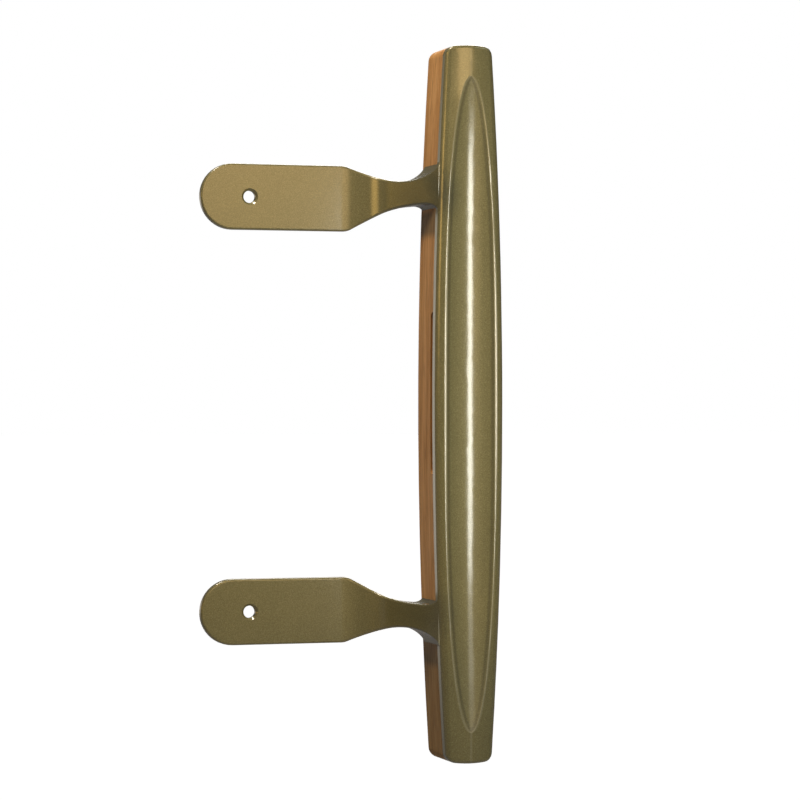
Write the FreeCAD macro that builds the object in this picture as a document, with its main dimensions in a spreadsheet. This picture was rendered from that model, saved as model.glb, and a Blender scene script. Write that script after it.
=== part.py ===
import FreeCAD, Part
import math
import os

import Sketcher

# A sliding door pull. X runs from the screw holes towards the grip, Z runs up the grip, and the
# front faces -Y. The origin is midway between the two screw holes, on the plane of the tab backs.
# Heights are counted forwards from that plane, so a height is -Y.

# Name, value in millimetres (or degrees or a plain ratio where the text says so), meaning
SIZES = [
    ("hole_spacing", 168.3, "between the centres of the two screw holes"),
    ("hole_bore", 5.0, "diameter of a screw hole"),
    ("hole_chamfer", 0.9, "chamfer at the front of a screw hole"),
    ("tab_thickness", 2.8, "thickness of a screw tab"),
    ("tab_width", 26.8, "width of a screw tab along the grip"),
    ("tab_reach", 20.5, "from a screw hole out to the round end of its tab"),
    ("arm_edge_round", 0.8, "rounding along the front edges of the arms"),
    ("grip_offset", 80.87, "from the line of the screw holes to the middle of the grip"),
    ("grip_length", 288.0, "length of the grip"),
    ("grip_width", 28.7, "width of the grip at its middle"),
    ("grip_bow", 4.7, "how far each long side has come in at the ends"),
    ("end_dome", 0.8, "how far each end of the grip swells out"),
    ("end_corner", 4.2, "corner radius at the ends of the grip"),
    ("end_round", 1.2, "rounding of the crown at the ends of the grip"),
    ("standoff", 37.0, "height of the joint between the casting and the back piece"),
    ("rim_height", 3.2, "straight wall of the casting above the joint"),
    ("crown_height", 4.0, "rise of the crown above the rim at the middle"),
    ("shoulder_radius", 4.6, "radius from the rim into the crown at the middle"),
    ("shoulder_slope", 65.0, "degrees, slope of the crown where it meets the rim"),
    ("scoop_margin", 12.5, "from an end of the grip to the tip of the almond scoop"),
    ("scoop_side", 3.65, "from a long side of the grip in to the crest of the scoop at its middle"),
    ("scoop_radius", 24.0, "radius of the hollow section of the scoop"),
    ("scoop_fullness", 2.7, "plain ratio, 2 is a parabola and more is fuller"),
    ("crest_round", 0.9, "rounding of the crest where the scoop meets the crown"),
    ("bend_start", 38.5, "from the screw holes to where the front of an arm starts to rise"),
    ("under_start", 47.2, "from the screw holes to where the back of an arm lifts off"),
    ("under_radius", 14.0, "radius of the bend on the back of an arm"),
    ("under_slope", 57.0, "degrees, slope of the back of an arm"),
    ("neck_outer", 6.35, "from a tab's middle line to the outer edge of the neck"),
    ("neck_inner", 3.65, "from a tab's middle line to the inner edge of the neck"),
    ("outer_corner", 40.0, "from the screw holes to the outer corner of the taper"),
    ("inner_corner", 41.3, "from the screw holes to the inner corner of the taper"),
    ("taper_round", 6.0, "radius of the corners where the two tapers start"),
    ("outer_blend", 11.0, "radius from the outer taper into the neck"),
    ("inner_blend", 24.0, "radius from the inner taper into the neck"),
    ("outer_root", 8.5, "radius from the neck into the grip, outer side"),
    ("inner_root", 3.0, "radius from the neck into the grip, inner side"),
    ("root_bite", 0.15, "how far both root radii run into the side of the grip"),
    ("root_depth", 2.6, "how far an arm runs into the side of the casting"),
    ("back_depth", 21.0, "depth of the back piece"),
    ("back_round", 3.0, "rounding round the rear face of the back piece"),
    ("back_fit", 0.15, "gap between the back piece and the roots of the arms"),
    ("relief_length", 65.0, "length of the relief beside the joint"),
    ("relief_middle", 4.5, "height of the middle of the relief above the origin"),
    ("relief_height", 2.6, "how far the relief reaches back from the joint"),
    ("relief_depth", 1.5, "how deep the relief is cut into the back piece"),
    ("tongue_width", 8.0, "width of the tongue on the back of the casting"),
    ("tongue_depth", 5.0, "depth of the tongue"),
    ("tongue_margin", 24.0, "from an end of the grip to the end of the tongue"),
    ("tongue_fit", 0.2, "gap between the tongue and its groove, all round"),
    ("screw_margin", 44.0, "from an end of the grip to the outer screw near it"),
    ("screw_diameter", 4.0, "thread diameter of a grip screw"),
    ("screw_length", 22.0, "length of a grip screw, head included"),
    ("screw_head", 8.0, "diameter of a grip screw's countersunk head"),
    ("screw_sink", 0.4, "how far a grip screw's head lies below the rear face"),
    ("screw_fit", 0.25, "gap between a grip screw and its hole in the back piece"),
    ("thread_fit", 0.05, "gap between a grip screw and its threaded hole"),
    ("thread_tip", 0.6, "room past the tip of a grip screw"),
    ("drive_width", 1.0, "width of a slot of the cross recess"),
    ("drive_span", 3.8, "span of the cross recess"),
    ("drive_depth", 1.8, "depth of the cross recess"),
]

# The planes that sketches lie on, the room that cuts run past a face, and the loft's sections
FRONT = "XZ_Plane"
LEVEL = "XY_Plane"
SIDE = "YZ_Plane"
MARGIN = 5.0
LOFT_STEPS = 11
FOOT_SLOPE = 80.0

doc = FreeCAD.newDocument("door_pull")
sheet = doc.addObject("Spreadsheet::Sheet", "Sizes")
for row, (name, value, meaning) in enumerate(SIZES, start=1):
    sheet.set("A%d" % row, name)
    sheet.set("B%d" % row, str(value))
    sheet.set("C%d" % row, meaning)
    sheet.setAlias("B%d" % row, name)
doc.recompute()


def size(name):
    return float(sheet.get(name))


def point(x, y):
    return FreeCAD.Vector(x, y, 0)


def line(start, end):
    return Part.LineSegment(start, end)


def arc(centre, radius, start, end):
    # Both angles are in degrees, and the arc runs anticlockwise from start to end
    circle = Part.Circle(centre, FreeCAD.Vector(0, 0, 1), radius)
    return Part.ArcOfCircle(circle, math.radians(start), math.radians(end))


def polar(centre, radius, angle):
    return centre + point(radius * math.cos(math.radians(angle)), radius * math.sin(math.radians(angle)))


def polygon(corners):
    return [line(corners[i], corners[(i + 1) % len(corners)]) for i in range(len(corners))]


def rectangle(left, bottom, right, top):
    return polygon([point(left, bottom), point(right, bottom), point(right, top), point(left, top)])


def touch_angle(corner, centre, radius, turn):
    # Angle of the point where a line from the corner touches the circle, on the side of turn
    away = corner - centre
    return math.degrees(math.atan2(away.y, away.x) + turn * math.acos(radius / away.Length))


def rounded(before, corner, after, radius):
    # The two points where an arc of this radius touches the straight sides of a corner, and the arc
    one = (before - corner).normalize()
    two = (after - corner).normalize()
    half = one.getAngle(two) / 2
    centre = corner + (one + two).normalize() * (radius / math.sin(half))
    first = corner + one * (radius / math.tan(half))
    last = corner + two * (radius / math.tan(half))
    start = math.degrees(math.atan2(first.y - centre.y, first.x - centre.x))
    end = math.degrees(math.atan2(last.y - centre.y, last.x - centre.x))
    if (end - start) % 360 > 180:
        start, end = end, start
    return first, last, arc(centre, radius, start, end)


def new_body(name):
    body = doc.addObject("PartDesign::Body", name)
    body.Label = name
    body.AllowCompound = True
    return body


def join_ends(sketch, first, loop):
    # Ties the ends that meet, so that the loop stays closed
    for i, here in enumerate(loop):
        there = loop[(i + 1) % len(loop)]
        ends = [((here.StartPoint, here.EndPoint)[a], (there.StartPoint, there.EndPoint)[b], a, b)
                for a in (0, 1) for b in (0, 1)]
        a, b = min(ends, key=lambda pair: (pair[0] - pair[1]).Length)[2:]
        neighbour = first + (i + 1) % len(loop)
        sketch.addConstraint(Sketcher.Constraint("Coincident", first + i, a + 1, neighbour, b + 1))


def new_sketch(body, name, role, loops, lift="0", shift=("0", "0")):
    # Each loop is a closed list of edges, or one edge. The lift moves the sketch along its
    # plane's normal, and the shift moves it within the plane.
    plane = [item for item in body.Origin.OriginFeatures if item.Role == role][0]
    sketch = body.newObject("Sketcher::SketchObject", name)
    sketch.AttachmentSupport = [(plane, "")]
    sketch.MapMode = "FlatFace"
    sketch.setExpression(".AttachmentOffset.Base.x", shift[0])
    sketch.setExpression(".AttachmentOffset.Base.y", shift[1])
    sketch.setExpression(".AttachmentOffset.Base.z", lift)
    for loop in loops:
        first = sketch.GeometryCount
        sketch.addGeometry(loop, False)
        if len(loop) > 1:
            join_ends(sketch, first, loop)
    return sketch


def circle_sketch(body, name, places, diameter, lift="0"):
    # Circles in front view at pairs of expressions, each with the same bound diameter
    sketch = new_sketch(body, name, FRONT, [], lift)
    for across, up in places:
        index = sketch.addGeometry(Part.Circle(point(1, 1), FreeCAD.Vector(0, 0, 1), 1), False)
        for kind, value in (("DistanceX", across), ("DistanceY", up)):
            rule = sketch.addConstraint(Sketcher.Constraint(kind, -1, 1, index, 3, 1))
            sketch.setExpression("Constraints[%d]" % rule, value)
        rule = sketch.addConstraint(Sketcher.Constraint("Diameter", index, 2))
        sketch.setExpression("Constraints[%d]" % rule, diameter)
    return sketch


def extrude(body, kind, name, sketch, length, turned=False, both_ways=False):
    # A pad runs along its sketch's normal and a pocket against it, unless turned
    feature = body.newObject("PartDesign::" + kind, name)
    feature.Profile = sketch
    feature.setExpression("Length", length)
    feature.Reversed = turned
    feature.Midplane = both_ways
    doc.recompute()
    return feature


def dress(body, kind, name, wanted, amount):
    # Rounds or bevels the wanted edges of the body's last feature
    base = body.Tip
    names = ["Edge%d" % (i + 1) for i, edge in enumerate(base.Shape.Edges) if wanted(base.Shape, edge)]
    feature = body.newObject("PartDesign::" + kind, name)
    feature.Base = (base, names)
    feature.setExpression("Radius" if kind == "Fillet" else "Size", amount)
    doc.recompute()
    return feature


def middle_of(edge):
    return edge.valueAt((edge.FirstParameter + edge.LastParameter) / 2)


def faces_beside(shape, edge):
    # Outward normals of the two faces that meet at the middle of the edge
    place = middle_of(edge)
    normals = []
    for face in shape.ancestorsOfType(edge, Part.Face):
        u, v = face.Surface.parameter(place)
        normals.append(face.normalAt(u, v))
    return normals


def bounds_a_wall(shape, edge):
    # True where a wall that runs straight back meets a face that looks forwards
    normals = faces_beside(shape, edge)
    if len(normals) != 2:
        return False
    facing = sorted(-normal.y for normal in normals)
    return abs(facing[0]) < 0.02 and facing[1] > 0.3


def is_sharp(shape, edge):
    # True where two faces meet at an angle instead of running on into each other
    normals = faces_beside(shape, edge)
    return len(normals) == 2 and normals[0].getAngle(normals[1]) > math.radians(1)


def side_radius():
    # The long sides are arcs whose sagitta over the grip's length is the bow
    half = size("grip_length") / 2
    return (half ** 2 + size("grip_bow") ** 2) / (2 * size("grip_bow"))


def half_width(up):
    radius = side_radius()
    return size("grip_width") / 2 - (radius - math.sqrt(radius ** 2 - up ** 2))


def grip_outline(swell=0.0):
    # The bowed outline of the grip in front view, widened all round by swell: two long arcs, two
    # domed ends, and a corner arc that touches its side and its end
    middle = size("grip_offset")
    corner = size("end_corner") + swell
    side = side_radius() + swell
    side_centre = size("grip_width") / 2 + swell - side
    end_half = half_width(size("grip_length") / 2)
    end = (end_half ** 2 + size("end_dome") ** 2) / (2 * size("end_dome")) + swell
    end_centre = size("grip_length") / 2 + swell - end
    span = math.hypot(side_centre, end_centre)
    near = side - corner
    far = end - corner
    along = (near ** 2 - far ** 2 + span ** 2) / (2 * span)
    across = math.sqrt(near ** 2 - along ** 2)
    corner_x = side_centre - (along * side_centre + across * end_centre) / span
    corner_z = (along * end_centre - across * side_centre) / span
    flat = math.degrees(math.atan2(corner_z, corner_x - side_centre))
    steep = math.degrees(math.atan2(corner_z - end_centre, corner_x))
    return [
        arc(point(middle + side_centre, 0), side, -flat, flat),
        arc(point(middle + corner_x, corner_z), corner, flat, steep),
        arc(point(middle, end_centre), end, steep, 180 - steep),
        arc(point(middle - corner_x, corner_z), corner, 180 - steep, 180 - flat),
        arc(point(middle - side_centre, 0), side, 180 - flat, 180 + flat),
        arc(point(middle - corner_x, -corner_z), corner, 180 + flat, 180 + steep),
        arc(point(middle, -end_centre), end, 180 + steep, 360 - steep),
        arc(point(middle + corner_x, -corner_z), corner, 360 - steep, 360 - flat),
    ]


def tongue_outline(gap=0.0):
    # The round-ended tongue up the middle of the grip in front view, widened all round by gap
    middle = size("grip_offset")
    radius = size("tongue_width") / 2 + gap
    reach = size("grip_length") / 2 - size("tongue_margin") - size("tongue_width") / 2
    return [
        line(point(middle + radius, -reach), point(middle + radius, reach)),
        arc(point(middle, reach), radius, 0, 180),
        line(point(middle - radius, reach), point(middle - radius, -reach)),
        arc(point(middle, -reach), radius, 180, 360),
    ]


def rim_top():
    return size("standoff") + size("rim_height")


def screw_height(step):
    # How far up a grip screw sits: 1 is the top one, 0 the middle one and -1 the bottom one
    return "%d * (Sizes.grip_length / 2 - Sizes.screw_margin)" % step


def crown_arcs():
    # The crown at the middle, counted from the rim's top: where the shoulder arc is centred, the
    # radius of the flatter arc across the top, and the angle where the two touch
    slope = math.radians(size("shoulder_slope"))
    shoulder = size("shoulder_radius")
    out = size("grip_width") / 2 - shoulder * math.sin(slope)
    below = shoulder * math.cos(slope)
    drop = size("crown_height") + below
    top = (out ** 2 + drop ** 2 - shoulder ** 2) / (2 * (drop - shoulder))
    seam = math.degrees(math.atan2(top - drop, out))
    return out, below, top, seam


def scale_at(up):
    # The crown keeps its shape and shrinks with the width of the grip
    return half_width(up) / (size("grip_width") / 2)


def crown_at(across, up):
    # Height of the crown before the scoop is cut
    top = crown_arcs()[2] * scale_at(up)
    return rim_top() + size("crown_height") * scale_at(up) - top + math.sqrt(top ** 2 - across ** 2)


def sky_loop(up):
    # The room over the crown, seen from above. Its lower edge is the crown's section, which runs
    # on a little outside the grip before it turns level.
    out, below, top, seam = crown_arcs()
    scale = scale_at(up)
    middle = size("grip_offset")
    foot = 90 - FOOT_SLOPE
    shoulder = size("shoulder_radius") * scale
    right = point(middle + out * scale, below * scale - rim_top())
    left = point(middle - out * scale, below * scale - rim_top())
    centre = point(middle, (top - size("crown_height")) * scale - rim_top())
    right_foot = polar(right, shoulder, -foot)
    left_foot = polar(left, shoulder, 180 + foot)
    sky = -rim_top() - size("crown_height") - MARGIN
    return [
        line(left_foot - point(MARGIN, 0), left_foot),
        arc(left, shoulder, 180 + foot, 180 + seam),
        arc(centre, top * scale, seam - 180, -seam),
        arc(right, shoulder, -seam, -foot),
        line(right_foot, right_foot + point(MARGIN, 0)),
        line(right_foot + point(MARGIN, 0), point(right_foot.x + MARGIN, sky)),
        line(point(right_foot.x + MARGIN, sky), point(left_foot.x - MARGIN, sky)),
        line(point(left_foot.x - MARGIN, sky), left_foot - point(MARGIN, 0)),
    ]


def scoop_path():
    # The scoop's floor from end to end. Its height is such that the edges trace the almond, whose
    # width falls from the middle to the tips by a power of the distance.
    half = size("grip_length") / 2 - size("scoop_margin")
    widest = size("grip_width") / 2 - size("scoop_side")
    radius = size("scoop_radius")

    def floor(share):
        across = widest * math.sqrt(1 - share ** size("scoop_fullness"))
        return crown_at(across, share * half) - radius + math.sqrt(radius ** 2 - across ** 2)

    shares = [0.0, 0.4, 0.7, 0.9, 1.0]
    places = [(share * half, floor(share)) for share in shares]
    (near, low), (tip, high) = places[-2:]
    past = size("grip_length") / 2 + 2 * MARGIN - tip
    places.append((tip + past, high + past * (high - low) / (tip - near)))
    return [(-up, height) for up, height in reversed(places[1:])] + places


def build_crown(body):
    # The outline of the grip stands up from the joint, and a loft cuts it down to the crown
    outline = new_sketch(body, "GripOutline", FRONT, [grip_outline()], "Sizes.standoff")
    height = "Sizes.rim_height + Sizes.crown_height + %r" % (MARGIN / 2)
    extrude(body, "Pad", "GripBlock", outline, height)
    reach = size("grip_length") / 2 + MARGIN
    sections = []
    for step in range(LOFT_STEPS):
        up = reach * (2 * step / (LOFT_STEPS - 1) - 1)
        sections.append(new_sketch(body, "SkySection%d" % step, LEVEL, [sky_loop(up)], repr(up)))
    loft = body.newObject("PartDesign::SubtractiveLoft", "Crown")
    loft.Profile = sections[0]
    loft.Sections = [(sketch, [""]) for sketch in sections[1:]]
    doc.recompute()


def cut_scoop(body):
    # A round bar drawn along the front of the grip leaves the almond scoop
    path = [point(-height - size("scoop_radius"), up) for up, height in scoop_path()]
    curve = Part.BSplineCurve()
    curve.interpolate(path)
    spine = new_sketch(body, "ScoopPath", SIDE, [[curve]], "Sizes.grip_offset")
    ring = Part.Circle(point(size("grip_offset"), path[0].x), FreeCAD.Vector(0, 0, 1), size("scoop_radius"))
    profile = new_sketch(body, "ScoopSection", LEVEL, [[ring]], repr(path[0].y))
    scoop = body.newObject("PartDesign::SubtractivePipe", "Scoop")
    scoop.Profile = profile
    scoop.Spine = (spine, ["Edge1"])
    doc.recompute()


def build_front():
    # The front of the grip, with a tongue on its back that locates the back piece
    body = new_body("grip_front")
    build_crown(body)
    cut_scoop(body)
    past_corner = size("grip_length") / 2 - size("end_corner") - size("end_dome")

    def at_an_end(shape, edge):
        place = middle_of(edge)
        return -place.y > rim_top() and abs(place.z) > past_corner and bounds_a_wall(shape, edge)

    dress(body, "Fillet", "EndRound", at_an_end, "Sizes.end_round")

    def on_the_crest(shape, edge):
        return -middle_of(edge).y > rim_top() and is_sharp(shape, edge)

    dress(body, "Fillet", "CrestRound", on_the_crest, "Sizes.crest_round")
    tongue = new_sketch(body, "TongueOutline", FRONT, [tongue_outline()], "Sizes.standoff")
    extrude(body, "Pad", "Tongue", tongue, "Sizes.tongue_depth", turned=True)
    places = [("Sizes.grip_offset", screw_height(step)) for step in (-1, 0, 1)]
    holes = circle_sketch(body, "ThreadOutline", places, "Sizes.screw_diameter + 2 * Sizes.thread_fit",
                          "Sizes.standoff - Sizes.tongue_depth")
    depth = "Sizes.screw_sink + Sizes.screw_length + Sizes.thread_tip - Sizes.back_depth + Sizes.tongue_depth"
    extrude(body, "Pocket", "Threads", holes, depth, turned=True)
    return body


def arm_outline():
    # The upper arm in front view: a tab with a round end, an outer and an inner edge that taper
    # to the neck, and a large and a small radius from the neck into the side of the grip
    middle = size("hole_spacing") / 2
    half = size("tab_width") / 2
    tab_end = half - size("tab_reach")
    outer = middle + size("neck_outer")
    inner = middle - size("neck_inner")
    outer_root = size("outer_root")
    inner_root = size("inner_root")
    outer_rim = size("grip_offset") - half_width(outer + outer_root) + size("root_bite")
    inner_rim = size("grip_offset") - half_width(inner - inner_root) + size("root_bite")
    inside = size("grip_offset") - half_width(outer) + size("root_depth")
    tab_top = point(tab_end, middle + half)
    tab_bottom = point(tab_end, middle - half)
    outer_corner = point(size("outer_corner"), middle + half)
    outer_centre = point(outer_rim - outer_root, outer + size("outer_blend"))
    outer_touch = touch_angle(outer_corner, outer_centre, size("outer_blend"), 1)
    outer_end = polar(outer_centre, size("outer_blend"), outer_touch)
    outer_last, outer_first, outer_arc = rounded(outer_end, outer_corner, tab_top, size("taper_round"))
    inner_corner = point(size("inner_corner"), middle - half)
    inner_centre = point(inner_rim - inner_root, inner - size("inner_blend"))
    inner_touch = touch_angle(inner_corner, inner_centre, size("inner_blend"), -1)
    inner_end = polar(inner_centre, size("inner_blend"), inner_touch)
    inner_first, inner_last, inner_arc = rounded(tab_bottom, inner_corner, inner_end, size("taper_round"))
    return [
        arc(point(tab_end, middle), half, 90, 270),
        line(tab_bottom, inner_first),
        inner_arc,
        line(inner_last, inner_end),
        arc(inner_centre, size("inner_blend"), 90, inner_touch),
        arc(point(inner_rim - inner_root, inner - inner_root), inner_root, 0, 90),
        line(point(inner_rim, inner - inner_root), point(inside, inner - inner_root)),
        line(point(inside, inner - inner_root), point(inside, outer + outer_root)),
        line(point(inside, outer + outer_root), point(outer_rim, outer + outer_root)),
        arc(point(outer_rim - outer_root, outer + outer_root), outer_root, 270, 360),
        arc(outer_centre, size("outer_blend"), outer_touch, 270),
        line(outer_end, outer_last),
        outer_arc,
        line(outer_first, tab_top),
    ]


def arm_profile():
    # What is cut away in front of and behind an arm, seen from above. The front of the arm bends
    # up from the tab to the slope of the crown's shoulder and meets the rim's top edge. Inside the
    # casting it stays level.
    slope = math.radians(size("shoulder_slope"))
    rim_x = size("grip_offset") - half_width(size("hole_spacing") / 2)
    tab = size("tab_thickness")
    foot_x = rim_x - (rim_top() - tab) / math.tan(slope)
    bend = (foot_x - size("bend_start")) / math.tan(slope / 2)
    bend_centre = point(size("bend_start"), -tab - bend)
    bend_end = polar(bend_centre, bend, 90 - size("shoulder_slope"))
    rim = point(rim_x, -rim_top())
    left = -size("tab_reach") - MARGIN
    right = size("grip_offset")
    far = -rim_top() - size("crown_height") - 3 * MARGIN
    front = [
        line(point(left, -tab), point(size("bend_start"), -tab)),
        arc(bend_centre, bend, 90 - size("shoulder_slope"), 90),
        line(bend_end, rim),
        line(rim, point(right, rim.y)),
        line(point(right, rim.y), point(right, far)),
        line(point(right, far), point(left, far)),
        line(point(left, far), point(left, -tab)),
    ]
    under = size("under_radius")
    under_centre = point(size("under_start"), -under)
    under_end = polar(under_centre, under, 90 - size("under_slope"))
    under_rise = (right - under_end.x) * math.tan(math.radians(size("under_slope")))
    under_out = point(right, under_end.y - under_rise)
    back = [
        arc(under_centre, under, 90 - size("under_slope"), 90),
        line(under_end, under_out),
        line(under_out, point(right, MARGIN)),
        line(point(right, MARGIN), point(size("under_start"), MARGIN)),
        line(point(size("under_start"), MARGIN), point(size("under_start"), 0)),
    ]
    return [front, back]


def build_arm():
    # The upper arm, cut away at its root where the back piece sits beside it
    body = new_body("upper_arm")
    outline = new_sketch(body, "ArmOutline", FRONT, [arm_outline()])
    block = "Sizes.standoff + Sizes.rim_height + Sizes.crown_height + %r" % MARGIN
    extrude(body, "Pad", "ArmBlock", outline, block)
    profile = new_sketch(body, "ArmProfile", LEVEL, arm_profile())
    extrude(body, "Pocket", "ArmBend", profile, "4 * Sizes.hole_spacing", both_ways=True)
    root_x = size("grip_offset") - half_width(size("hole_spacing") / 2)

    def on_the_front(shape, edge):
        return middle_of(edge).x < root_x and bounds_a_wall(shape, edge)

    dress(body, "Fillet", "ArmEdges", on_the_front, "Sizes.arm_edge_round")
    seat = new_sketch(body, "SeatOutline", FRONT, [grip_outline(size("back_fit"))], "Sizes.standoff")
    extrude(body, "Pocket", "Seat", seat, "Sizes.standoff + %r" % MARGIN)
    hole = circle_sketch(body, "HoleOutline", [("0", "Sizes.hole_spacing / 2")], "Sizes.hole_bore")
    extrude(body, "Pocket", "ScrewHole", hole, "Sizes.tab_thickness + %r" % MARGIN, turned=True)

    def front_of_the_hole(shape, edge):
        place = middle_of(edge)
        near = math.hypot(place.x, place.z - size("hole_spacing") / 2) < size("hole_bore")
        return near and -place.y > size("tab_thickness") / 2

    dress(body, "Chamfer", "HoleChamfer", front_of_the_hole, "Sizes.hole_chamfer")
    return body


def build_casting():
    # One casting: the front of the grip with the upper arm and its mirror image below
    front = build_front()
    upper = build_arm()
    lower = doc.addObject("Part::Mirroring", "lower_arm")
    lower.Source = upper
    lower.Normal = (0, 0, 1)
    casting = doc.addObject("Part::MultiFuse", "handle_casting")
    casting.Shapes = [front, upper, lower]
    casting.Refine = True
    casting.Label = "handle_casting"
    doc.recompute()
    return casting


def screw_profile():
    # Half of a grip screw about its own axis: x is Y, and y is the radius
    rear = size("standoff") - size("back_depth") + size("screw_sink")
    head = size("screw_head") / 2
    shank = size("screw_diameter") / 2
    tip = rear + size("screw_length")
    return polygon([
        point(-rear, 0),
        point(-rear, head),
        point(-rear - head + shank, shank),
        point(-tip, shank),
        point(-tip, 0),
    ])


def screw_room():
    # Half of the hole for a grip screw: a countersink on the head's cone, and a clear bore
    rear = size("standoff") - size("back_depth")
    cone = rear + size("screw_sink")
    fit = size("screw_fit")
    head = size("screw_head") / 2
    shank = size("screw_diameter") / 2
    return polygon([
        point(-rear + MARGIN, 0),
        point(-rear + MARGIN, head + fit),
        point(-cone + fit, head + fit),
        point(-cone + fit - head + shank, shank + fit),
        point(-size("standoff"), shank + fit),
        point(-size("standoff"), 0),
    ])


def revolve(body, kind, name, loop, step):
    # Turns a half profile about the axis of the screw at this step from the middle
    place = ("0", screw_height(step))
    sketch = new_sketch(body, name + "Profile", SIDE, [loop], "Sizes.grip_offset", place)
    feature = body.newObject("PartDesign::" + kind, name)
    feature.Profile = sketch
    feature.ReferenceAxis = (sketch, ["H_Axis"])
    feature.Angle = 360
    doc.recompute()


def relief_outline():
    # The relief beside the joint, seen from the side: x is Y and y is Z
    joint = -size("standoff")
    rear = joint + size("relief_height")
    radius = size("relief_height") * 0.8
    low = size("relief_middle") - size("relief_length") / 2
    high = size("relief_middle") + size("relief_length") / 2
    return [
        line(point(joint, low), point(rear - radius, low)),
        arc(point(rear - radius, low + radius), radius, 270, 360),
        line(point(rear, low + radius), point(rear, high - radius)),
        arc(point(rear - radius, high - radius), radius, 0, 90),
        line(point(rear - radius, high), point(joint, high)),
        line(point(joint, high), point(joint, low)),
    ]


def build_back():
    # The piece behind the casting, screwed on from the rear
    body = new_body("grip_back")
    outline = new_sketch(body, "BackOutline", FRONT, [grip_outline()], "Sizes.standoff - Sizes.back_depth")
    extrude(body, "Pad", "BackBlock", outline, "Sizes.back_depth")
    rear = size("standoff") - size("back_depth")

    def on_the_rear(shape, edge):
        return abs(-middle_of(edge).y - rear) < 0.01

    dress(body, "Fillet", "BackRound", on_the_rear, "Sizes.back_round")
    groove = new_sketch(body, "GrooveOutline", FRONT, [tongue_outline(size("tongue_fit"))], "Sizes.standoff")
    extrude(body, "Pocket", "TongueGroove", groove, "Sizes.tongue_depth + Sizes.tongue_fit")
    for step in (-1, 0, 1):
        revolve(body, "Groove", "ScrewRoom%d" % (step + 2), screw_room(), step)
    wall = "Sizes.grip_offset - Sizes.grip_width / 2 + Sizes.relief_depth"
    relief = new_sketch(body, "ReliefOutline", SIDE, [relief_outline()], wall)
    extrude(body, "Pocket", "Relief", relief, "Sizes.relief_depth + %r" % MARGIN)
    return body


def cross_outline():
    # The cross recess of a screw, in front view about the screw's axis
    near = size("drive_width") / 2
    far = size("drive_span") / 2
    return polygon([
        point(near, near), point(near, far), point(-near, far), point(-near, near),
        point(-far, near), point(-far, -near), point(-near, -near), point(-near, -far),
        point(near, -far), point(near, -near), point(far, -near), point(far, near),
    ])


def build_screw(name, step):
    # A countersunk machine screw with a cross recess, its head to the rear
    body = new_body(name)
    revolve(body, "Revolution", "ScrewTurning", screw_profile(), step)
    place = ("Sizes.grip_offset", screw_height(step))
    rear = "Sizes.standoff - Sizes.back_depth + Sizes.screw_sink"
    recess = new_sketch(body, "DriveOutline", FRONT, [cross_outline()], rear, place)
    extrude(body, "Pocket", "Drive", recess, "Sizes.drive_depth", turned=True)
    return body


SCREWS = [("grip_screw_top", 1), ("grip_screw_middle", 0), ("grip_screw_bottom", -1)]
pieces = [build_casting(), build_back()]
pieces += [build_screw(name, step) for name, step in SCREWS]
doc.recompute()

for item in doc.Objects:
    if "Invalid" in item.State or "Error" in item.State:
        raise RuntimeError("%s did not build" % item.Name)
os.makedirs("parts", exist_ok=True)
for piece in pieces:
    shape = piece.Shape
    if shape.isNull() or not shape.isValid():
        raise RuntimeError("%s has no valid shape" % piece.Label)
    if len(shape.Solids) != 1:
        raise RuntimeError("%s is not one solid" % piece.Label)
    shape.exportStep("parts/%s.step" % piece.Label)
    print(piece.Label, "volume", round(shape.Volume, 1), "faces", len(shape.Faces))
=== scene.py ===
import math

import bpy
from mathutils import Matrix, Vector

# Looks for the sliding door handle. Lengths are metres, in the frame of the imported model: +Z up the
# grip, +X from the screw holes towards the grip, and the front faces -Y. Angles are degrees, and
# azimuth 0 is straight in front of the handle and grows towards +X. Colours are linear. An edge is
# a pair: where a mark ends, and half the width over which it fades.

CAMERA_PLACE = (-0.30287, -1.16554, 0.00174)
CAMERA_TURN = -17.5
CAMERA_LENS = 133.27
SENSOR_WIDTH = 36.0
CLIP_START = 0.01
CLIP_END = 100.0

# Middle of the grip, and the almond scoop in its front
GRIP = (0.081, -0.042, 0.0)
SCOOP_HALF_LENGTH = 0.1315
SCOOP_HALF_WIDTH = 0.0107
SCOOP_FULLNESS = 2.7
FRONT_EDGE = (-0.036, 0.002)

# A painted highlight: a pale line along the scoop's rim, standing in for the lamps' reflection on its
# rounded edge, strongest about the middle of the grip's height
RIM_HIGHLIGHT_EDGE = (0.0005, 0.00025)
RIM_HIGHLIGHT_COLOUR = (0.60, 0.57, 0.44)
RIM_HIGHLIGHT_BASE = 0.12
MID_HIGHLIGHT_GAIN = 0.85
MID_HIGHLIGHT_HEIGHT = 0.012
MID_HIGHLIGHT_EDGE = (0.040, 0.032)

# Painted shade: a darker line beside the rim, just inside the scoop, where its steep edge turns away
# from the light
SHADE_LINE_BEYOND = -0.0013
SHADE_LINE_EDGE = (0.0006, 0.0005)
SHADE_LINE_STRENGTH = 0.75
SHADE_LINE_TINT = (0.55, 0.55, 0.55)

# Painted shade where the arms meet the grip, in place of the shadow and dark corner there, less at
# the lower one
ARM_ROOT_ACROSS = 0.066
ARM_ROOT_HEIGHT = 0.084
ROOT_SHADE_EDGE = (0.0085, 0.0065)
ROOT_SHADE_TINT = (0.52, 0.56, 0.66)
LOWER_HALF_EDGE = (0.0, 0.01)
LOWER_HALF_LOSS = 0.45

# Painted shade: the paint is darker towards its lower end, where less light falls
PAINT_END_SHADE_EDGE = (-0.098, 0.022)
PAINT_END_SHADE_TINT = (0.80, 0.84, 0.92)

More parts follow.
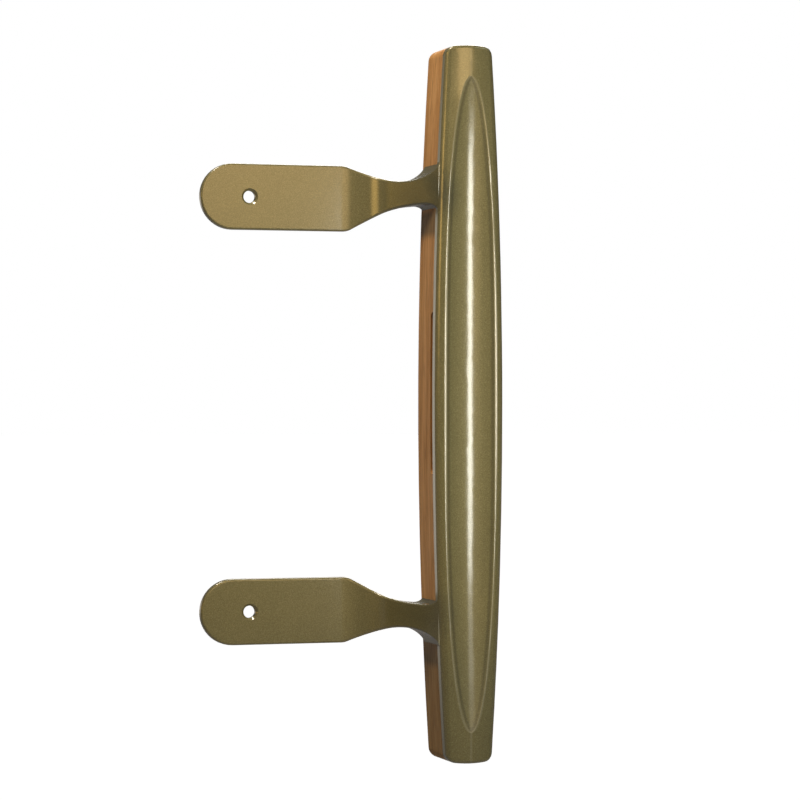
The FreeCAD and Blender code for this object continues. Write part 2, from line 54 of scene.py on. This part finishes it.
# Painted shadows on the wood under each arm, as their height and edge, and how far round they reach
WOOD_ARM_SHADOWS = [(0.0730, (0.0052, 0.0022)), (-0.0995, (0.0060, 0.0022))]
WOOD_SHADOW_TINT = (0.42, 0.50, 0.58)
ARM_SIDE_EDGE = (0.0705, 0.0015)

# Painted shade: the wood is darker towards its lower end, where less light falls
WOOD_END_SHADE_EDGE = (-0.103, 0.006)
WOOD_END_SHADE_TINT = (0.60, 0.68, 0.68)

FLOOR_HEIGHT = -1.0
FLOOR_FRONT = -1.6
FLOOR_REACH = 80.0
FLOOR_COLOUR = (0.80, 0.80, 0.80)
FLOOR_AS_SEEN = (0.95, 0.95, 0.95)
WHITE = (1.0, 1.0, 1.0)

# Colour of the room in gloss, and its soft patches: middle as azimuth and elevation, half size,
# softness, and the colour that each adds. The first is the white backdrop behind the handle.
ROOM_GLOW = (0.070, 0.072, 0.080)
ROOM_PATCHES = [
    ((198.0, 0.0), (22.0, 6.0), (22.0, 5.0), (1.0, 0.92, 0.80)),
    ((-66.0, 6.5), (8.0, 3.5), (6.0, 2.0), (6.0, 3.7, 1.0)),
    ((8.8, 12.6), (11.0, 9.0), (6.5, 3.7), (4.7, 3.1, 1.3)),
]

# A tall strip lamp near the grip, in parts: height of the lower and upper end, and brightness
STRIP_TURN = 16.7
STRIP_REACH = 0.25
STRIP_WIDTH = 0.037
STRIP_COLOUR = (1.0, 0.99, 0.88)
STRIPS = [(-0.145, -0.115, 0.6), (-0.115, -0.075, 2.0), (-0.075, -0.04, 12.3), (-0.04, 0.108, 15.0)]

# The square lamps: azimuth, elevation, distance from the grip, side, power and colour
LAMPS = {
    "key": (45.0, 35.0, 0.8, 0.30, 0.50, (0.85, 1.0, 0.80)),
    "back": (160.0, 40.0, 1.3, 0.60, 9.0, (1.0, 0.97, 0.92)),
    "left": (-74.0, 65.0, 0.6, 0.15, 2.3, (1.0, 0.88, 0.72)),
}

# Places of a colour mix node's factor and two colours among its inputs, and of its result
MIX_INPUTS = (0, 6, 7)
MIX_RESULT = 2

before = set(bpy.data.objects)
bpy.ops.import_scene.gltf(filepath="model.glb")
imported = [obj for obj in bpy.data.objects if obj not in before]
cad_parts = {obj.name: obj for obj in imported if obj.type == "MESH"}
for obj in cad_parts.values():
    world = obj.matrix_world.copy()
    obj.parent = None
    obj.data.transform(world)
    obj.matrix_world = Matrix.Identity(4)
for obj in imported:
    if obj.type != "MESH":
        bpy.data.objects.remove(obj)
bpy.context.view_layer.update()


class Nodes:
    """Adds and joins the nodes of one tree."""

    def __init__(self, tree):
        self.tree = tree
        tree.nodes.clear()

    def feed(self, node, socket, value):
        # Links a socket to another node's output, or sets its value
        target = node.inputs[socket]
        if isinstance(value, bpy.types.NodeSocket):
            self.tree.links.new(value, target)
        elif target.type == "RGBA":
            target.default_value = (*value, 1.0)
        else:
            target.default_value = value

    def add(self, kind, settings=None, **inputs):
        node = self.tree.nodes.new("ShaderNode" + kind)
        for name, value in (settings or {}).items():
            setattr(node, name, value)
        for name, value in inputs.items():
            self.feed(node, name.replace("_", " "), value)
        return node

    def math(self, operation, *values):
        node = self.add("Math", {"operation": operation})
        for index, value in enumerate(values):
            self.feed(node, index, value)
        return node.outputs[0]

    def product(self, first, *others):
        for other in others:
            first = self.math("MULTIPLY", first, other)
        return first

    def distance(self, value, middle):
        return self.math("ABSOLUTE", self.math("SUBTRACT", value, middle))

    def fade(self, value, edge):
        # 1 below the edge and 0 above it, with a smooth step between
        end, soft = edge
        node = self.add("MapRange", {"interpolation_type": "SMOOTHSTEP"}, Value=value,
                        From_Min=end + soft, From_Max=end - soft)
        return node.outputs[0]

    def mix(self, factor, first, second, blend="MIX"):
        node = self.add("Mix", {"data_type": "RGBA", "blend_type": blend})
        for socket, value in zip(MIX_INPUTS, (factor, first, second)):
            self.feed(node, socket, value)
        return node.outputs[MIX_RESULT]

    def tint(self, factor, colour, by):
        return self.mix(factor, colour, by, "MULTIPLY")

    def ramp(self, factor, stops):
        node = self.add("ValToRGB", Fac=factor)
        elements = node.color_ramp.elements
        while len(elements) < len(stops):
            elements.new(0.5)
        for element, (place, colour) in zip(elements, stops):
            element.position = place
            element.color = (*colour, 1.0)
        return node.outputs[0]

    def place(self, scale=(1.0, 1.0, 1.0)):
        # The place on the object, where a small scale stretches a pattern along that axis
        own = self.add("TexCoord").outputs["Object"]
        return self.add("Mapping", Vector=own, Scale=scale).outputs[0]

    def split(self, vector):
        return tuple(self.add("SeparateXYZ", Vector=vector).outputs)

    def noise(self, place, scale, detail, roughness=0.5):
        node = self.add("TexNoise", Vector=place, Scale=scale, Detail=detail, Roughness=roughness)
        return node.outputs[0]

    def bump(self, height, distance, strength, **inputs):
        node = self.add("Bump", Height=height, Distance=distance, Strength=strength, **inputs)
        return node.outputs[0]

    def finish(self, node, kind="Material"):
        self.add("Output" + kind, Surface=node.outputs[0])


def new_material(name):
    # A material, and the helper that fills its empty node tree
    material = bpy.data.materials.new(name)
    material.use_nodes = True
    return material, Nodes(material.node_tree)


def grey(value):
    return (value, value, value)


def beyond_rim(nodes, across, up):
    # How far a place lies outside the rim of the almond scoop
    along = nodes.math("DIVIDE", nodes.math("ABSOLUTE", up), SCOOP_HALF_LENGTH)
    spent = nodes.math("POWER", along, SCOOP_FULLNESS)
    left = nodes.math("MAXIMUM", nodes.math("SUBTRACT", 1.0, spent), 0.0)
    half_width = nodes.product(nodes.math("SQRT", left), SCOOP_HALF_WIDTH)
    return nodes.math("SUBTRACT", nodes.distance(across, GRIP[0]), half_width)


def root_shade(nodes, across, up):
    # How much painted shade lies round the places where the arms meet the grip
    aside = nodes.math("SUBTRACT", across, ARM_ROOT_ACROSS)
    above = nodes.math("SUBTRACT", nodes.math("ABSOLUTE", up), ARM_ROOT_HEIGHT)
    squares = nodes.math("ADD", nodes.product(aside, aside), nodes.product(above, above))
    near = nodes.fade(nodes.math("SQRT", squares), ROOT_SHADE_EDGE)
    lost = nodes.product(nodes.fade(up, LOWER_HALF_EDGE), LOWER_HALF_LOSS)
    return nodes.product(near, nodes.math("SUBTRACT", 1.0, lost))


def bronze_paint():
    # Champagne bronze paint with fine metal flakes under a clear coat
    material, nodes = new_material("bronze_flake_paint")
    place = nodes.place()
    across, outward, up = nodes.split(place)
    flakes = nodes.noise(place, scale=2600.0, detail=2.0, roughness=0.6)
    clouds = nodes.noise(place, scale=45.0, detail=3.0)
    colour = nodes.ramp(flakes, [
        (0.30, (0.165, 0.144, 0.055)),
        (0.55, (0.230, 0.204, 0.082)),
        (0.75, (0.320, 0.290, 0.130)),
    ])
    colour = nodes.tint(1.0, colour, nodes.ramp(clouds, [(0.3, grey(0.93)), (0.7, grey(1.0))]))

    front = nodes.fade(outward, FRONT_EDGE)
    beyond = beyond_rim(nodes, across, up)
    # Painted shade: a darker line just inside the scoop's rim
    shade_line = nodes.fade(nodes.distance(beyond, SHADE_LINE_BEYOND), SHADE_LINE_EDGE)
    colour = nodes.tint(nodes.product(shade_line, front, SHADE_LINE_STRENGTH), colour, SHADE_LINE_TINT)
    # Painted highlight: a pale line on the scoop's rim, strongest about the middle of its height
    highlight_middle = nodes.fade(nodes.distance(up, MID_HIGHLIGHT_HEIGHT), MID_HIGHLIGHT_EDGE)
    highlight_strength = nodes.math("MULTIPLY_ADD", highlight_middle, MID_HIGHLIGHT_GAIN, RIM_HIGHLIGHT_BASE)
    rim = nodes.fade(nodes.math("ABSOLUTE", beyond), RIM_HIGHLIGHT_EDGE)
    colour = nodes.mix(nodes.product(rim, highlight_strength, front), colour, RIM_HIGHLIGHT_COLOUR)
    # Painted shade round the roots of the arms
    colour = nodes.tint(root_shade(nodes, across, up), colour, ROOT_SHADE_TINT)
    # Painted shade: darker towards the lower end
    colour = nodes.tint(nodes.fade(up, PAINT_END_SHADE_EDGE), colour, PAINT_END_SHADE_TINT)

    rough = nodes.math("MULTIPLY_ADD", flakes, 0.10, 0.55)
    grain = nodes.bump(flakes, distance=0.00003, strength=0.45)
    orange_peel = nodes.noise(place, scale=420.0, detail=1.0)
    surface = nodes.bump(orange_peel, distance=0.00002, strength=0.25, Normal=grain)
    nodes.finish(nodes.add("BsdfPrincipled", Base_Color=colour, Roughness=rough, Metallic=0.35,
                           Normal=surface, Coat_Weight=1.0, Coat_Roughness=0.14, Coat_IOR=1.65))
    return material


def lacquered_wood():
    # Reddish brown wood with fine streaks up its length, under a satin lacquer
    material, nodes = new_material("lacquered_wood_grain")
    streaks = nodes.noise(nodes.place((1.0, 1.0, 0.035)), scale=620.0, detail=4.0, roughness=0.65)
    bands = nodes.noise(nodes.place((1.0, 1.0, 0.10)), scale=110.0, detail=2.0)
    pores = nodes.noise(nodes.place((1.0, 1.0, 0.05)), scale=2400.0, detail=1.0)
    colour = nodes.ramp(streaks, [
        (0.30, (0.460, 0.225, 0.072)),
        (0.50, (0.620, 0.330, 0.118)),
        (0.72, (0.740, 0.430, 0.175)),
    ])
    shade = nodes.ramp(bands, [(0.30, (0.80, 0.75, 0.70)), (0.65, grey(1.0))])
    pits = nodes.ramp(pores, [(0.34, grey(0.55)), (0.44, grey(1.0))])
    colour = nodes.tint(1.0, colour, shade)
    colour = nodes.tint(0.6, colour, pits)

    across, outward, up = nodes.split(nodes.place())
    arm_side = nodes.fade(across, ARM_SIDE_EDGE)
    # Painted shadows of the arms on the wood below them
    for middle, edge in WOOD_ARM_SHADOWS:
        under = nodes.fade(nodes.distance(up, middle), edge)
        colour = nodes.tint(nodes.product(under, arm_side), colour, WOOD_SHADOW_TINT)
    # Painted shade: darker towards the lower end
    colour = nodes.tint(nodes.fade(up, WOOD_END_SHADE_EDGE), colour, WOOD_END_SHADE_TINT)

    rough = nodes.ramp(streaks, [(0.3, grey(0.58)), (0.7, grey(0.46))])
    grain = nodes.bump(streaks, distance=0.00006, strength=0.35)
    nodes.finish(nodes.add("BsdfPrincipled", Base_Color=colour, Roughness=rough, Normal=grain,
                           Specular_IOR_Level=0.12))
    return material


def screw_steel():
    # Zinc plated steel with the faint rings that turning leaves
    material, nodes = new_material("zinc_plated_steel")
    blotches = nodes.noise(nodes.place(), scale=900.0, detail=3.0, roughness=0.6)
    colour = nodes.ramp(blotches, [(0.3, (0.46, 0.45, 0.41)), (0.7, (0.60, 0.60, 0.57))])
    rough = nodes.ramp(blotches, [(0.3, grey(0.36)), (0.7, grey(0.24))])
    fine = nodes.noise(nodes.place((1.0, 0.2, 1.0)), scale=3000.0, detail=1.0)
    surface = nodes.bump(fine, distance=0.00002, strength=0.3)
    nodes.finish(nodes.add("BsdfPrincipled", Base_Color=colour, Roughness=rough, Metallic=1.0,
                           Normal=surface))
    return material


def paint(node, material):
    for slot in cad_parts[node].material_slots:
        slot.material = material


def room_light(nodes, way):
    # The colour of the room in one direction
    right, back, up = nodes.split(way)
    turn = nodes.math("ARCTAN2", right, nodes.math("MULTIPLY", back, -1.0))
    rise = nodes.math("ARCSINE", up)
    room = ROOM_GLOW
    for middle, half, soft, colour in ROOM_PATCHES:
        turn_edge, rise_edge = [tuple(map(math.radians, edge)) for edge in zip(half, soft)]
        away = nodes.distance(turn, math.radians(middle[0]))
        nearer_way_round = nodes.math("MINIMUM", away, nodes.distance(away, math.tau))
        above = nodes.distance(rise, math.radians(middle[1]))
        patch = nodes.product(nodes.fade(nearer_way_round, turn_edge), nodes.fade(above, rise_edge))
        room = nodes.mix(patch, room, colour, "ADD")
    return room


def seen_plainly(nodes):
    # 1 for rays of the camera and rays through clear matter
    rays = nodes.add("LightPath").outputs
    return nodes.math("MAXIMUM", rays["Is Camera Ray"], rays["Is Transmission Ray"])


def build_floor():
    # A pale floor under the handle and behind it, which shows the room in gloss
    mesh = bpy.data.meshes.new("floor")
    corners = [(-FLOOR_REACH, FLOOR_FRONT), (FLOOR_REACH, FLOOR_FRONT),
               (FLOOR_REACH, FLOOR_REACH), (-FLOOR_REACH, FLOOR_REACH)]
    mesh.from_pydata([(*corner, FLOOR_HEIGHT) for corner in corners], [], [(0, 1, 2, 3)])
    floor = bpy.data.objects.new("floor", mesh)
    bpy.context.scene.collection.objects.link(floor)
    material, nodes = new_material("pale_floor")
    way = nodes.add("VectorMath", {"operation": "NORMALIZE"})
    nodes.feed(way, 0, nodes.add("NewGeometry").outputs["Position"])
    seen = seen_plainly(nodes)
    gloss = nodes.add("LightPath").outputs["Is Glossy Ray"]
    colour = nodes.mix(seen, room_light(nodes, way.outputs[0]), FLOOR_AS_SEEN)
    glow = nodes.add("Emission", Color=colour, Strength=nodes.math("MAXIMUM", seen, gloss))
    matt = nodes.add("BsdfDiffuse", Color=FLOOR_COLOUR)
    both = nodes.add("AddShader")
    nodes.feed(both, 0, matt.outputs[0])
    nodes.feed(both, 1, glow.outputs[0])
    nodes.finish(both)
    mesh.materials.append(material)


def build_world():
    # White where it is looked at, and the room in gloss and in soft light
    world = bpy.data.worlds.new("studio")
    bpy.context.scene.world = world
    world.use_nodes = True
    nodes = Nodes(world.node_tree)
    room = room_light(nodes, nodes.add("TexCoord").outputs["Generated"])
    colour = nodes.mix(seen_plainly(nodes), room, WHITE)
    nodes.finish(nodes.add("Background", Color=colour, Strength=1.0), "World")


def build_camera():
    camera = bpy.data.cameras.new("camera")
    camera.lens = CAMERA_LENS
    camera.sensor_width = SENSOR_WIDTH
    camera.sensor_fit = "HORIZONTAL"
    camera.clip_start = CLIP_START
    camera.clip_end = CLIP_END
    holder = bpy.data.objects.new("camera", camera)
    bpy.context.scene.collection.objects.link(holder)
    holder.location = CAMERA_PLACE
    holder.rotation_euler = (math.radians(90.0), 0.0, math.radians(CAMERA_TURN))
    bpy.context.scene.camera = holder


def around(azimuth, elevation, distance):
    # A place at a distance from the grip's middle
    turn = math.radians(azimuth)
    rise = math.radians(elevation)
    flat = distance * math.cos(rise)
    way = Vector((flat * math.sin(turn), -flat * math.cos(turn), distance * math.sin(rise)))
    return Vector(GRIP) + way


def soft_light(name, place, target, width, height, power, colour):
    lamp = bpy.data.lights.new(name, "AREA")
    lamp.shape = "RECTANGLE"
    lamp.size = width
    lamp.size_y = height
    lamp.energy = power
    lamp.color = colour
    holder = bpy.data.objects.new(name, lamp)
    bpy.context.scene.collection.objects.link(holder)
    holder.location = place
    holder.rotation_euler = (target - place).to_track_quat("-Z", "Y").to_euler()


def build_lamps():
    for number, (low, high, brightness) in enumerate(STRIPS):
        raised = Vector((0.0, 0.0, (low + high) / 2.0))
        place = around(STRIP_TURN, 0.0, STRIP_REACH) + raised
        power = brightness * math.pi * STRIP_WIDTH * (high - low)
        soft_light("strip_%d" % number, place, Vector(GRIP) + raised, STRIP_WIDTH, high - low, power,
                   STRIP_COLOUR)
    for name, (azimuth, elevation, distance, side, power, colour) in LAMPS.items():
        place = around(azimuth, elevation, distance)
        soft_light(name, place, Vector(GRIP), side, side, power, colour)


paint("handle_casting", bronze_paint())
paint("grip_back", lacquered_wood())
steel = screw_steel()
for screw in ("grip_screw_top", "grip_screw_middle", "grip_screw_bottom"):
    paint(screw, steel)
build_floor()
build_world()
build_camera()
build_lamps()

bpy.context.scene.view_settings.view_transform = "Standard"
